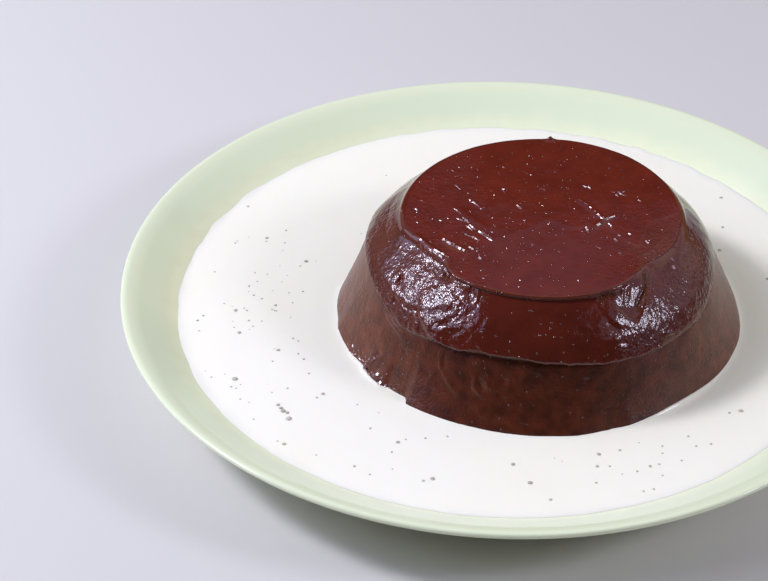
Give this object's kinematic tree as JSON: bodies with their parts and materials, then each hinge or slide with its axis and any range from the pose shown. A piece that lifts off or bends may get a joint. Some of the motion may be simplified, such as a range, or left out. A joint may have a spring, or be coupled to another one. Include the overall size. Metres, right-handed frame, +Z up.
{
  "type": "chocolate marquise",
  "caption": "Moulded chocolate marquise in three tiers, a glossy top over a matte flaring foot, standing in a pool of pale custard sauce on a pale green rimmed plate.",
  "frame": {"origin": "centre of the foot ring, on the table", "axes": "+Z up through the plate's centre, +Y away from the side that is served from"},
  "size_m": [0.27, 0.27, 0.0548],
  "materials": {
    "plate_glaze": "glossy pale green glaze",
    "custard": "smooth off-white pouring custard with small bubbles",
    "chocolate": "set chocolate, wet gloss above the lip and matte below it"
  },
  "bodies": {
    "root": {"plate": "plate_glaze", "custard_sauce": "custard", "marquise": "chocolate"}
  },
  "joints": []
}
